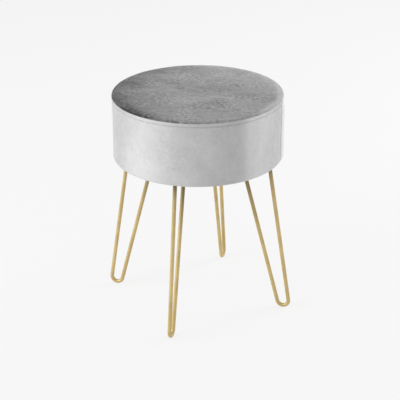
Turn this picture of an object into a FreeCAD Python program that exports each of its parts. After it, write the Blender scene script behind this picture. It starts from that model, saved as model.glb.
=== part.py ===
# Round footstool: a velvet drum seat on four hairpin legs of two rods each.
# Millimetres, +Z up. The origin is on the floor, on the axis of the seat.
# The legs stand on the X and Y axes.
import FreeCAD, Part
import math
import os

import Sketcher
from FreeCAD import Placement, Rotation, Vector

# Driving dimensions, one row of the sheet each.
DIMENSIONS = {
    # Seat, from the floor up
    "leg_height": 283.2,
    "dust_cover_thickness": 0.8,
    "velvet_thickness": 1.2,
    "board_thickness": 15,
    "foam_thickness": 87.8,
    "wadding_thickness": 11.8,
    # Seat, from the rim in
    "seat_diameter": 300,
    "seam_roll": 0.6,
    "side_draw_in": 0.6,
    "lower_edge_radius": 2.8,
    "edge_strip_land": 9.2,
    "hem_width": 26,
    "dust_cover_setback": 6,
    "board_edge_chamfer": 1,
    # Crown of the top
    "crown_rise": 0.6,
    "shoulder_width": 6,
    "shoulder_radius": 40,
    "top_edge_radius": 1.3,
    "topstitch_drop": 6.5,
    # Hairpin rod: its shanks are placed where their axes meet the underside of the seat
    "rod_diameter": 7,
    "leg_inset": 6,
    "shank_spacing": 50.8,
    "foot_splay": 31.2,
    "bend_radius": 10.5,
    "weld_leg": 1.8,
    # Leg plate and its bolts
    "plate_thickness": 2.5,
    "plate_outer_margin": 1.2,
    "plate_inner_margin": 2.7,
    "plate_side_margin": 7,
    "plate_corner_radius": 7,
    "plate_edge_round": 0.8,
    "bolt_pitch_along": 26,
    "bolt_pitch_across": 26,
    "bolt_diameter": 6,
    "bolt_hole_clearance": 0.6,
    "bolt_head_diameter": 10.5,
    "bolt_head_height": 3.3,
    "bolt_head_rim": 1.1,
    "bolt_socket_width": 4,
    "bolt_socket_depth": 2.2,
    "bolt_tip_setback": 0.7,
    "bolt_tip_chamfer": 0.8,
    # Insert nut, pressed into the board from above
    "insert_wall": 1.6,
    "insert_setback": 6,
    "insert_flange_diameter": 17,
    "insert_flange_thickness": 1.4,
    "thread_clearance": 0.1,
    "insert_fit_clearance": 0.2,
}

LEG_SIDES = ("right", "back", "left", "front")
LEG_STEP = 360 / len(LEG_SIDES)

doc = FreeCAD.newDocument("round_footstool")


class Size:
    """A length or ratio: its number now, and the expression that ties it to the sheet."""

    def __init__(self, number, text):
        self.number = number
        self.text = text

    def __add__(self, other):
        other = as_size(other)
        return Size(self.number + other.number, f"({self.text} + {other.text})")

    def __sub__(self, other):
        other = as_size(other)
        return Size(self.number - other.number, f"({self.text} - {other.text})")

    def __mul__(self, other):
        other = as_size(other)
        return Size(self.number * other.number, f"({self.text} * {other.text})")

    def __truediv__(self, other):
        other = as_size(other)
        return Size(self.number / other.number, f"({self.text} / {other.text})")

    def __neg__(self):
        return Size(-self.number, f"(0 - {self.text})")

    def root(self):
        """Square root."""
        return Size(math.sqrt(self.number), f"sqrt({self.text})")


def as_size(value):
    """A plain number as a Size; a Size as it is."""
    return value if isinstance(value, Size) else Size(value, str(value))


def make_sheet():
    """Spreadsheet of the driving dimensions, with the alias of each beside its value."""
    sheet = doc.addObject("Spreadsheet::Sheet", "Sizes")
    for row, (alias, value) in enumerate(DIMENSIONS.items(), start=1):
        sheet.set(f"A{row}", alias.replace("_", " "))
        sheet.set(f"B{row}", str(value))
        sheet.setAlias(f"B{row}", alias)
    doc.recompute()
    return sheet


sizes = make_sheet()
derived = doc.addObject("App::VarSet", "Derived")


def cell(alias):
    """A driving dimension."""
    return Size(float(sizes.get(alias)), f"Sizes.{alias}")


def derive(name, size):
    """Keep a worked-out size under a name of its own, and return it as that name."""
    derived.addProperty("App::PropertyFloat", name, "Derived")
    derived.setExpression(name, size.text)
    return Size(size.number, f"Derived.{name}")


ZERO = Size(0.0, "0")

# Levels, from the floor up
velvet = cell("velvet_thickness")
underside = cell("leg_height")
hem_bottom = derive("hem_bottom", underside + cell("dust_cover_thickness"))
board_bottom = derive("board_bottom", hem_bottom + velvet)
board_top = derive("board_top", board_bottom + cell("board_thickness"))
foam_top = derive("foam_top", board_top + cell("foam_thickness"))
wadding_top = derive("wadding_top", foam_top + cell("wadding_thickness"))
plate_bottom = derive("plate_bottom", underside - cell("plate_thickness"))

# Radii, from the rim in
stuffing_radius = derive("stuffing_radius", cell("seat_diameter") / 2 - cell("seam_roll") - velvet)
cover_radius = derive("cover_radius", stuffing_radius + velvet)
edge_centre = derive("edge_centre", stuffing_radius - cell("lower_edge_radius"))
board_radius = derive("board_radius", edge_centre - cell("edge_strip_land"))
hem_radius = derive("hem_radius", board_radius - cell("hem_width"))
dust_cover_radius = derive("dust_cover_radius", board_radius - cell("dust_cover_setback"))


def arc_radius(name, chord, depth):
    """Radius of an arc of a given depth over a chord."""
    half = chord / 2
    return derive(name, (half * half + depth * depth) / (depth * 2))


# Top of the wadding: a wide crown, a tighter shoulder and a small edge, each tangent to the next.
rise = cell("crown_rise")
shoulder = cell("shoulder_radius")
edge = cell("top_edge_radius")
crown_reach = derive("crown_reach", stuffing_radius - cell("shoulder_width"))
crown = derive("crown", (crown_reach * crown_reach + rise * rise) / (rise * 2))
crown_sine = derive("crown_sine", crown_reach / crown)
crown_cosine = derive("crown_cosine", (crown - rise) / crown)
edge_sine = derive(
    "edge_sine", (cell("shoulder_width") - edge + shoulder * crown_sine) / (shoulder - edge)
)
edge_cosine = derive("edge_cosine", (Size(1.0, "1") - edge_sine * edge_sine).root())
seam_level = derive(
    "seam_level",
    wadding_top - rise + shoulder * (edge_cosine - crown_cosine) - edge * edge_cosine,
)
topstitch_level = derive("topstitch_level", seam_level - cell("topstitch_drop"))

# The foam's side is drawn in, and the cover with it; above the topstitch the cover swells a little.
foam_side_arc = arc_radius("foam_side_arc", cell("foam_thickness"), cell("side_draw_in"))
cover_side_arc = arc_radius("cover_side_arc", topstitch_level - board_top, cell("side_draw_in"))
seam_roll_arc = arc_radius("seam_roll_arc", cell("topstitch_drop"), cell("seam_roll"))

# Hairpin rod in its own plane, as distance from the seat's axis and level
rod_radius = derive("rod_radius", cell("rod_diameter") / 2)
bend = cell("bend_radius")
outer_shank = derive("outer_shank", board_radius - cell("leg_inset"))
inner_shank = derive("inner_shank", outer_shank - cell("shank_spacing"))
bend_centre = (
    derive("foot_radius", outer_shank + cell("foot_splay")),
    derive("bend_level", bend + rod_radius),
)


def shank_way(name, top, turn):
    """Unit vector down a shank, from its top to where it touches the bend on the turn's side."""
    across = bend_centre[0] - top[0]
    down = bend_centre[1] - top[1]
    square = across * across + down * down
    offset = bend * turn
    length = (square - offset * offset).root()
    return (
        derive(f"{name}_way_x", (across * length - down * offset) / square),
        derive(f"{name}_way_z", (down * length + across * offset) / square),
    )


# Top of each shank and its way down; the outer one passes outside the bend's centre.
SHANKS = {}
for shank, radius, turn in (("outer", outer_shank, 1), ("inner", inner_shank, -1)):
    shank_top = (radius, underside)
    SHANKS[shank] = (shank_top, shank_way(shank, shank_top, turn))

# Bolt pattern, about the middle between the two shanks, on the X axis
bolt_middle = derive("bolt_middle", outer_shank - cell("shank_spacing") / 2)
bolt_out = derive("bolt_out", bolt_middle + cell("bolt_pitch_along") / 2)
bolt_in = derive("bolt_in", bolt_middle - cell("bolt_pitch_along") / 2)
bolt_side = derive("bolt_side", cell("bolt_pitch_across") / 2)
BOLT_CENTRES = [(along, across) for along in (bolt_in, bolt_out) for across in (-bolt_side, bolt_side)]
bolt_hole = derive("bolt_hole", cell("bolt_diameter") + cell("bolt_hole_clearance"))
insert_bore = derive("insert_bore", cell("bolt_diameter") + cell("thread_clearance"))
insert_barrel = derive("insert_barrel", insert_bore + cell("insert_wall") * 2)
insert_hole = derive("insert_hole", insert_barrel + cell("insert_fit_clearance"))
insert_seat = derive("insert_seat", cell("insert_flange_diameter") + cell("insert_fit_clearance"))
insert_depth = derive("insert_depth", cell("board_thickness") - cell("insert_setback"))
head_bottom = derive("head_bottom", plate_bottom - cell("bolt_head_height"))
head_round = derive("head_round", cell("bolt_head_height") - cell("bolt_head_rim"))
shank_length = derive("shank_length", board_top - cell("bolt_tip_setback") - plate_bottom)
socket_side = derive("socket_side", cell("bolt_socket_width") / 2)
socket_corner = derive("socket_corner", socket_side * 2 / Size(3.0, "3").root())

# Leg plate, out past the welds of both shanks
weld_reach = derive("weld_reach", rod_radius + cell("weld_leg"))
plate_outer = derive("plate_outer", outer_shank + weld_reach + cell("plate_outer_margin"))
plate_inner = derive("plate_inner", inner_shank - weld_reach - cell("plate_inner_margin"))
plate_side = derive("plate_side", bolt_side + cell("plate_side_margin"))
doc.recompute()


def new_body(name, several=False):
    """A body under its node's name; several allows a group of separate solids."""
    body = doc.addObject("PartDesign::Body", name)
    body.Label = name
    body.AllowCompound = several
    return body


def new_sketch(body, name, role, level=None):
    """An empty sketch on one of the body's own planes, raised to a level."""
    sketch = body.newObject("Sketcher::SketchObject", f"{body.Name}_{name}")
    plane = next(item for item in body.Origin.OriginFeatures if item.Role == role)
    sketch.AttachmentSupport = [(plane, "")]
    sketch.MapMode = "FlatFace"
    if level is not None:
        sketch.AttachmentOffset = Placement(Vector(0, 0, level.number), Rotation())
        sketch.setExpression("AttachmentOffset.Base.z", level.text)
    return sketch


def dimension(sketch, kind, size, *where):
    """A constraint of the sketch whose value follows a size."""
    index = sketch.addConstraint(Sketcher.Constraint(kind, *where, size.number))
    sketch.setExpression(f"Constraints[{index}]", size.text)


def place_point(sketch, geometry, end, point):
    """Tie a point of the sketch to its distances from the origin."""
    for kind, axis, size in (("DistanceX", -2, point[0]), ("DistanceY", -1, point[1])):
        if size is ZERO:
            sketch.addConstraint(Sketcher.Constraint("PointOnObject", geometry, end, axis))
        else:
            dimension(sketch, kind, size, -1, 1, geometry, end)


def arc_between(start, end, radius, leftward):
    """Arc from start to end, under a half circle, with its centre to the left or the right."""
    chord = end - start
    across = Vector(-chord.y, chord.x, 0).normalize()
    reach = math.sqrt(radius**2 - (chord.Length / 2) ** 2)
    centre = (start + end) / 2 + across * (reach if leftward else -reach)
    first, last = (start, end) if leftward else (end, start)
    angles = [math.atan2(point.y - centre.y, point.x - centre.x) for point in (first, last)]
    return Part.ArcOfCircle(Part.Circle(centre, Vector(0, 0, 1), radius), *angles)


def draw_outline(sketch, points, arcs=None):
    """Closed outline through points of two sizes each.

    arcs gives the radius of each round stretch by the index of its first point: "left" or
    "right" says on which side of the way round its centre lies.
    """
    arcs = arcs or {}
    corners = [Vector(across.number, up.number, 0) for across, up in points]
    ends = []
    for index, start in enumerate(corners):
        end = corners[(index + 1) % len(corners)]
        if index in arcs:
            radius, side = arcs[index]
            leftward = side == "left"
            geometry = sketch.addGeometry(arc_between(start, end, radius.number, leftward))
            dimension(sketch, "Radius", radius, geometry)
            ends.append((geometry, 1, 2) if leftward else (geometry, 2, 1))
        else:
            ends.append((sketch.addGeometry(Part.LineSegment(start, end)), 1, 2))
    for index, point in enumerate(points):
        before, _, before_end = ends[index - 1]
        geometry, start_end, _ = ends[index]
        sketch.addConstraint(
            Sketcher.Constraint("Coincident", before, before_end, geometry, start_end)
        )
        place_point(sketch, geometry, start_end, point)


def draw_circles(sketch, centres, diameter):
    """Equal circles about their centres."""
    for centre in centres:
        middle = Vector(centre[0].number, centre[1].number, 0)
        circle = Part.Circle(middle, Vector(0, 0, 1), diameter.number / 2)
        geometry = sketch.addGeometry(circle)
        dimension(sketch, "Diameter", diameter, geometry)
        place_point(sketch, geometry, 3, centre)


def turned(name, points, arcs=None):
    """A body turned about the Z axis from half its section, given as radius and level."""
    body = new_body(name)
    sketch = new_sketch(body, "section", "XZ_Plane")
    draw_outline(sketch, points, arcs)
    revolution = body.newObject("PartDesign::Revolution", f"{name}_turn")
    revolution.Profile = sketch
    revolution.ReferenceAxis = (sketch, ["V_Axis"])
    revolution.Angle = 360
    doc.recompute()
    return body


def pad(body, name, sketch, length, downward=False):
    """Pad a sketch up or down by a length."""
    feature = body.newObject("PartDesign::Pad", f"{body.Name}_{name}")
    feature.Profile = sketch
    feature.setExpression("Length", length.text)
    feature.Reversed = downward
    doc.recompute()
    return feature


def pocket(body, name, sketch, depth=None, upward=False):
    """Pocket a sketch down or up, by a depth or right through."""
    feature = body.newObject("PartDesign::Pocket", f"{body.Name}_{name}")
    feature.Profile = sketch
    feature.Reversed = upward
    if depth is None:
        feature.Type = "ThroughAll"
    else:
        feature.setExpression("Length", depth.text)
    doc.recompute()
    return feature


def round_legs(body, name, sketch, features):
    """Repeat features of one leg's place at all the legs."""
    pattern = body.newObject("PartDesign::PolarPattern", f"{body.Name}_{name}")
    pattern.Originals = features
    pattern.Axis = (sketch, ["N_Axis"])
    pattern.Angle = 360
    pattern.Occurrences = len(LEG_SIDES)
    body.Tip = pattern
    doc.recompute()
    return pattern


def dress(body, kind, name, edges, size):
    """Fillet or chamfer edges of the body's last feature."""
    base = body.Tip
    feature = body.newObject(f"PartDesign::{kind}", f"{body.Name}_{name}")
    feature.Base = (base, edges)
    feature.setExpression("Radius" if kind == "Fillet" else "Size", size.text)
    doc.recompute()
    return feature


def round_edges(shape, level, radius=None):
    """Names of the edges that lie in a level plane, or of its circles of one radius alone."""
    names = []
    for index, item in enumerate(shape.Edges, start=1):
        flat = abs(item.BoundBox.ZMin - level) < 1e-4 and abs(item.BoundBox.ZMax - level) < 1e-4
        circle = radius is None or (
            isinstance(item.Curve, Part.Circle) and abs(item.Curve.Radius - radius) < 1e-4
        )
        if flat and circle:
            names.append(f"Edge{index}")
    return names


def bolt_holes(body, name, level, diameter, depth=None):
    """Holes at every bolt of every leg, downward from a level."""
    sketch = new_sketch(body, name, "XY_Plane", level)
    draw_circles(sketch, BOLT_CENTRES, diameter)
    cut = pocket(body, f"{name}_cut", sketch, depth)
    return round_legs(body, f"{name}_round", sketch, [cut])


def crown_points(offset):
    """Centre, shoulder, edge and seam points of the top, raised off the wadding by an offset."""
    middle = (ZERO, wadding_top + offset)
    shoulder_start = (
        crown_reach + offset * crown_sine,
        wadding_top - rise + offset * crown_cosine,
    )
    edge_start = (
        stuffing_radius - edge + (edge + offset) * edge_sine,
        seam_level + (edge + offset) * edge_cosine,
    )
    return [middle, shoulder_start, edge_start, (stuffing_radius + offset, seam_level)]


def crown_radii(offset):
    """Radii of the crown, the shoulder and the edge, raised off the wadding by an offset."""
    return [crown + offset, shoulder + offset, edge + offset]


def make_base_board():
    """Plywood disc with a stepped bore for every insert nut."""
    body = turned(
        "base_board",
        [(ZERO, board_bottom), (board_radius, board_bottom), (board_radius, board_top), (ZERO, board_top)],
    )
    rim = round_edges(body.Shape, board_bottom.number, board_radius.number)
    dress(body, "Chamfer", "rim", rim, cell("board_edge_chamfer"))
    bolt_holes(body, "insert_bores", board_top, insert_hole)
    bolt_holes(body, "flange_seats", board_top, insert_seat, cell("insert_flange_thickness"))


def make_foam_core():
    """Foam block of the drum, its side drawn in between the board and the wadding."""
    turned(
        "foam_core",
        [(ZERO, board_top), (stuffing_radius, board_top), (stuffing_radius, foam_top), (ZERO, foam_top)],
        {1: (foam_side_arc, "right")},
    )


def make_edge_strip():
    """Foam strip round the rim of the board, with the round lower edge of the seat."""
    radius = cell("lower_edge_radius")
    turned(
        "edge_foam_strip",
        [
            (board_radius, board_bottom),
            (edge_centre, board_bottom),
            (stuffing_radius, board_bottom + radius),
            (stuffing_radius, board_top),
            (board_radius, board_top),
        ],
        {1: (radius, "left")},
    )


def make_wadding():
    """Wadding pad that gives the top its crown."""
    middle, shoulder_start, edge_start, seam = crown_points(ZERO)
    crown_arc, shoulder_arc, edge_arc = crown_radii(ZERO)
    turned(
        "wadding_pad",
        [(ZERO, foam_top), (stuffing_radius, foam_top), seam, edge_start, shoulder_start, middle],
        {2: (edge_arc, "left"), 3: (shoulder_arc, "left"), 4: (crown_arc, "left")},
    )


def make_top_panel():
    """Velvet top panel, one thickness over the wadding, down to the seam with the band."""
    middle, shoulder_start, edge_start, seam = crown_points(ZERO)
    crown_arc, shoulder_arc, edge_arc = crown_radii(ZERO)
    outer_middle, outer_shoulder, outer_edge, outer_seam = crown_points(velvet)
    outer_crown, outer_shoulder_arc, outer_edge_arc = crown_radii(velvet)
    turned(
        "seat_top_panel",
        [middle, shoulder_start, edge_start, seam, outer_seam, outer_edge, outer_shoulder, outer_middle],
        {
            0: (crown_arc, "right"),
            1: (shoulder_arc, "right"),
            2: (edge_arc, "right"),
            4: (outer_edge_arc, "left"),
            5: (outer_shoulder_arc, "left"),
            6: (outer_crown, "left"),
        },
    )


def make_side_band():
    """Velvet side band: rolled between seam and topstitch, drawn in over the foam, turned under."""
    radius = cell("lower_edge_radius")
    body = turned(
        "seat_side_band",
        [
            (hem_radius, hem_bottom),
            (edge_centre, hem_bottom),
            (cover_radius, board_bottom + radius),
            (cover_radius, board_top),
            (cover_radius, topstitch_level),
            (cover_radius, seam_level),
            (stuffing_radius, seam_level),
            (stuffing_radius, foam_top),
            (stuffing_radius, board_top),
            (stuffing_radius, board_bottom + radius),
            (edge_centre, board_bottom),
            (hem_radius, board_bottom),
        ],
        {
            1: (radius + velvet, "left"),
            3: (cover_side_arc, "right"),
            4: (seam_roll_arc, "left"),
            7: (foam_side_arc, "left"),
            9: (radius, "right"),
        },
    )
    bolt_holes(body, "bolt_holes", board_bottom, bolt_hole, velvet)


def make_dust_cover():
    """Non-woven disc over the stapled hem, pierced by the bolts."""
    body = turned(
        "dust_cover",
        [
            (ZERO, underside),
            (dust_cover_radius, underside),
            (dust_cover_radius, hem_bottom),
            (ZERO, hem_bottom),
        ],
    )
    bolt_holes(body, "bolt_holes", hem_bottom, bolt_hole)


def make_insert_nuts():
    """Flanged insert nuts, flush with the top of the board."""
    body = new_body("insert_nuts", several=True)
    flanges = new_sketch(body, "flanges", "XY_Plane", board_top)
    draw_circles(flanges, BOLT_CENTRES, cell("insert_flange_diameter"))
    flange = pad(body, "flange", flanges, cell("insert_flange_thickness"), downward=True)
    barrels = new_sketch(body, "barrels", "XY_Plane", board_top)
    draw_circles(barrels, BOLT_CENTRES, insert_barrel)
    barrel = pad(body, "barrel", barrels, insert_depth, downward=True)
    bores = new_sketch(body, "bores", "XY_Plane", board_top)
    draw_circles(bores, BOLT_CENTRES, insert_bore)
    bore = pocket(body, "bore", bores)
    round_legs(body, "round", flanges, [flange, barrel, bore])


def make_leg_plate(name):
    """Steel plate with rounded corners and four bolt holes, under the seat along X."""
    body = new_body(name)
    corner = cell("plate_corner_radius")
    sketch = new_sketch(body, "outline", "XY_Plane", plate_bottom)
    draw_outline(
        sketch,
        [
            (plate_inner + corner, -plate_side),
            (plate_outer - corner, -plate_side),
            (plate_outer, corner - plate_side),
            (plate_outer, plate_side - corner),
            (plate_outer - corner, plate_side),
            (plate_inner + corner, plate_side),
            (plate_inner, plate_side - corner),
            (plate_inner, corner - plate_side),
        ],
        {index: (corner, "left") for index in (1, 3, 5, 7)},
    )
    draw_circles(sketch, BOLT_CENTRES, bolt_hole)
    sheet_metal = pad(body, "sheet", sketch, cell("plate_thickness"))
    holes = set(round_edges(sheet_metal.Shape, plate_bottom.number, bolt_hole.number / 2))
    rim = [item for item in round_edges(sheet_metal.Shape, plate_bottom.number) if item not in holes]
    dress(body, "Fillet", "rim", rim, cell("plate_edge_round"))
    return body


def shank_point(shank, along, out=ZERO):
    """Point by its distance down a shank from the seat and outwards from the shank's axis."""
    top, (way_x, way_z) = SHANKS[shank]
    return (top[0] + way_x * along - way_z * out, top[1] + way_z * along + way_x * out)


def flat(point):
    """A point of two sizes as a vector of its numbers."""
    return Vector(point[0].number, point[1].number, 0)


def trim_above_plate(body):
    """Cut off all of the body above the lower face of the plate."""
    sketch = new_sketch(body, "trim", "XY_Plane", plate_bottom)
    draw_circles(sketch, [(ZERO, ZERO)], cell("seat_diameter"))
    pocket(body, "trimmed", sketch, upward=True)


def make_leg_rod(name):
    """One round rod bent to a hairpin in the XZ plane, cut off flush under the plate."""
    body = new_body(name)
    tops = {shank: flat(top) for shank, (top, _) in SHANKS.items()}
    centre = flat(bend_centre)
    ends = {}
    for shank, top in tops.items():
        length = math.sqrt((centre - top).Length ** 2 - bend.number**2)
        ends[shank] = flat(shank_point(shank, as_size(length)))
    angles = [math.atan2(*reversed((ends[shank] - centre)[:2])) for shank in ("inner", "outer")]

    path = new_sketch(body, "path", "XZ_Plane")
    outer = path.addGeometry(Part.LineSegment(tops["outer"], ends["outer"]))
    circle = Part.Circle(centre, Vector(0, 0, 1), bend.number)
    hairpin = path.addGeometry(Part.ArcOfCircle(circle, *angles))
    inner = path.addGeometry(Part.LineSegment(ends["inner"], tops["inner"]))
    path.addConstraint(Sketcher.Constraint("Tangent", outer, 2, hairpin, 2))
    path.addConstraint(Sketcher.Constraint("Tangent", hairpin, 1, inner, 1))
    dimension(path, "Radius", bend, hairpin)
    place_point(path, outer, 1, SHANKS["outer"][0])
    place_point(path, inner, 2, SHANKS["inner"][0])
    place_point(path, hairpin, 3, bend_centre)
    doc.recompute()

    section = body.newObject("Sketcher::SketchObject", f"{name}_section")
    section.AttachmentSupport = [(path, "Edge1")]
    section.MapMode = "NormalToEdge"
    draw_circles(section, [(ZERO, ZERO)], cell("rod_diameter"))
    bent = body.newObject("PartDesign::AdditivePipe", f"{name}_bent")
    bent.Profile = section
    bent.Spine = path
    doc.recompute()
    trim_above_plate(body)
    return body


def make_leg_welds(name):
    """Fillet welds where the two shanks meet the plate."""
    body = new_body(name, several=True)
    leg = cell("weld_leg")
    for shank, (_, way) in SHANKS.items():
        # Distance down the shank's axis from the seat to the lower face of the plate
        plate_depth = cell("plate_thickness") / -way[1]
        toe = plate_depth + leg
        back = plate_depth - rod_radius
        sketch = new_sketch(body, f"{shank}_bead", "XZ_Plane")
        draw_outline(
            sketch,
            [
                shank_point(shank, toe, rod_radius),
                shank_point(shank, back, rod_radius),
                shank_point(shank, back, rod_radius * 2 + leg),
            ],
        )
        ends = [shank_point(shank, toe), shank_point(shank, back)]
        axis = sketch.addGeometry(Part.LineSegment(*map(flat, ends)), True)
        place_point(sketch, axis, 1, ends[0])
        place_point(sketch, axis, 2, ends[1])
        bead = body.newObject("PartDesign::Revolution", f"{name}_{shank}_turn")
        bead.Profile = sketch
        bead.ReferenceAxis = (sketch, ["Axis0"])
        bead.Angle = 360
        doc.recompute()
    trim_above_plate(body)
    return body


def make_leg_bolts(name):
    """Four button-head bolts with hexagon sockets, up through the plate into the insert nuts."""
    body = new_body(name, several=True)
    heads = new_sketch(body, "heads", "XY_Plane", plate_bottom)
    draw_circles(heads, BOLT_CENTRES, cell("bolt_head_diameter"))
    head = pad(body, "head", heads, cell("bolt_head_height"), downward=True)
    rims = round_edges(head.Shape, head_bottom.number)
    dress(body, "Fillet", "dome", rims, head_round)

    shanks = new_sketch(body, "shanks", "XY_Plane", plate_bottom)
    draw_circles(shanks, BOLT_CENTRES, cell("bolt_diameter"))
    shank = pad(body, "shank", shanks, shank_length)
    tips = round_edges(shank.Shape, shank.Shape.BoundBox.ZMax)
    dress(body, "Chamfer", "tip", tips, cell("bolt_tip_chamfer"))

    sockets = new_sketch(body, "sockets", "XY_Plane", head_bottom)
    half_corner = socket_corner / 2
    for along, across in BOLT_CENTRES:
        draw_outline(
            sockets,
            [
                (along + socket_corner, across),
                (along + half_corner, across + socket_side),
                (along - half_corner, across + socket_side),
                (along - socket_corner, across),
                (along - half_corner, across - socket_side),
                (along + half_corner, across - socket_side),
            ],
        )
    pocket(body, "socket", sockets, cell("bolt_socket_depth"), upward=True)
    return body


def make_legs():
    """The four legs, each a plate, a rod, its welds and its bolts, turned to its side."""
    for index, side in enumerate(LEG_SIDES):
        turn = Placement(Vector(), Rotation(Vector(0, 0, 1), index * LEG_STEP))
        for piece, make in (
            ("leg_plate", make_leg_plate),
            ("leg_rod", make_leg_rod),
            ("leg_welds", make_leg_welds),
            ("leg_bolts", make_leg_bolts),
        ):
            make(f"{piece}_{side}").Placement = turn


def write_parts():
    """Check every object, then write each body to its own file."""
    doc.recompute()
    for item in doc.Objects:
        if {"Invalid", "Error"} & set(item.State):
            raise RuntimeError(f"{item.Label} failed: {item.State}")
    bodies = [item for item in doc.Objects if item.TypeId == "PartDesign::Body"]
    for body in bodies:
        if body.Shape.isNull() or not body.Shape.isValid():
            raise RuntimeError(f"{body.Label} has no valid shape")
    os.makedirs("parts", exist_ok=True)
    for body in bodies:
        body.Shape.exportStep(f"parts/{body.Label}.step")
        print(f"{body.Label}: {len(body.Shape.Solids)} solid(s), {body.Shape.Volume:.1f} mm3")


make_base_board()
make_foam_core()
make_edge_strip()
make_wadding()
make_top_panel()
make_side_band()
make_dust_cover()
make_insert_nuts()
make_legs()
write_parts()
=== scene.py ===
"""Round footstool: the looks of a velvet drum seat on four gold hairpin legs.

Metres, +Z up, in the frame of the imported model. Azimuths are degrees from -Y towards +X.
"""
import logging
import math
from dataclasses import dataclass, replace
from enum import Enum
from functools import cache
from typing import Any, Callable, Iterable, Sequence

import bmesh
import bpy
from mathutils import Matrix, Quaternion, Vector, noise


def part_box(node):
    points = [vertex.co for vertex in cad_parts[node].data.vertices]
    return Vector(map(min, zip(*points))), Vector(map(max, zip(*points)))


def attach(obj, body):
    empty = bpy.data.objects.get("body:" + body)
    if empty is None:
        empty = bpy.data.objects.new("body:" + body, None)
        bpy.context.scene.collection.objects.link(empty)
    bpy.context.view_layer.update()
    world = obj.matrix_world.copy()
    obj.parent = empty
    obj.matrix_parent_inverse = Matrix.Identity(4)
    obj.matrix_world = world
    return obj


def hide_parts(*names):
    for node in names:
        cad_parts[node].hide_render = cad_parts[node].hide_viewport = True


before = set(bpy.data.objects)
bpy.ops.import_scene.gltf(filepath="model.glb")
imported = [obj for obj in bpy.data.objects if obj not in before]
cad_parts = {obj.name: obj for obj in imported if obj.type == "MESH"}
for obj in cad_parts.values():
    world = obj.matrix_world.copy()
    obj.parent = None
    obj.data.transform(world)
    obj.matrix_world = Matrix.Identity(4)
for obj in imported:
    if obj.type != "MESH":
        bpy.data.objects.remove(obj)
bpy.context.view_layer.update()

BODY = "root"
SEAM_AZIMUTH = 92.0
MERGE = 1e-6
LOG = logging.getLogger("footstool")

Colour = tuple[float, float, float, float]
Socket = bpy.types.NodeSocket
Element = bmesh.types.BMVert | bmesh.types.BMEdge | bmesh.types.BMFace


def shade(red: int, green: int, blue: int) -> Colour:
    """Colour as it looks on a screen, made linear.

    Args:
        red, green, blue: Screen levels from 0 to 255.

    Returns:
        Linear red, green, blue and an opaque alpha.
    """
    levels = [channel / 255 for channel in (red, green, blue)]
    linear = [v / 12.92 if v <= 0.04045 else ((v + 0.055) / 1.055) ** 2.4 for v in levels]
    return (*linear, 1.0)


def grey(level: int) -> Colour:
    """Neutral colour of one screen level from 0 to 255."""
    return shade(level, level, level)


def bearing(azimuth: float, elevation: float = 0.0) -> Vector:
    """Unit vector of a direction.

    Args:
        azimuth: Degrees from -Y towards +X.
        elevation: Degrees above the floor.

    Returns:
        The direction in the stool's frame.
    """
    turn, rise = math.radians(azimuth), math.radians(elevation)
    return Vector((math.sin(turn) * math.cos(rise), -math.cos(turn) * math.cos(rise), math.sin(rise)))


def fade(value: float, start: float, end: float) -> float:
    """Smooth step from 0 at start to 1 at end."""
    share = min(1.0, max(0.0, (value - start) / (end - start)))
    return share * share * (3 - 2 * share)


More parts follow.
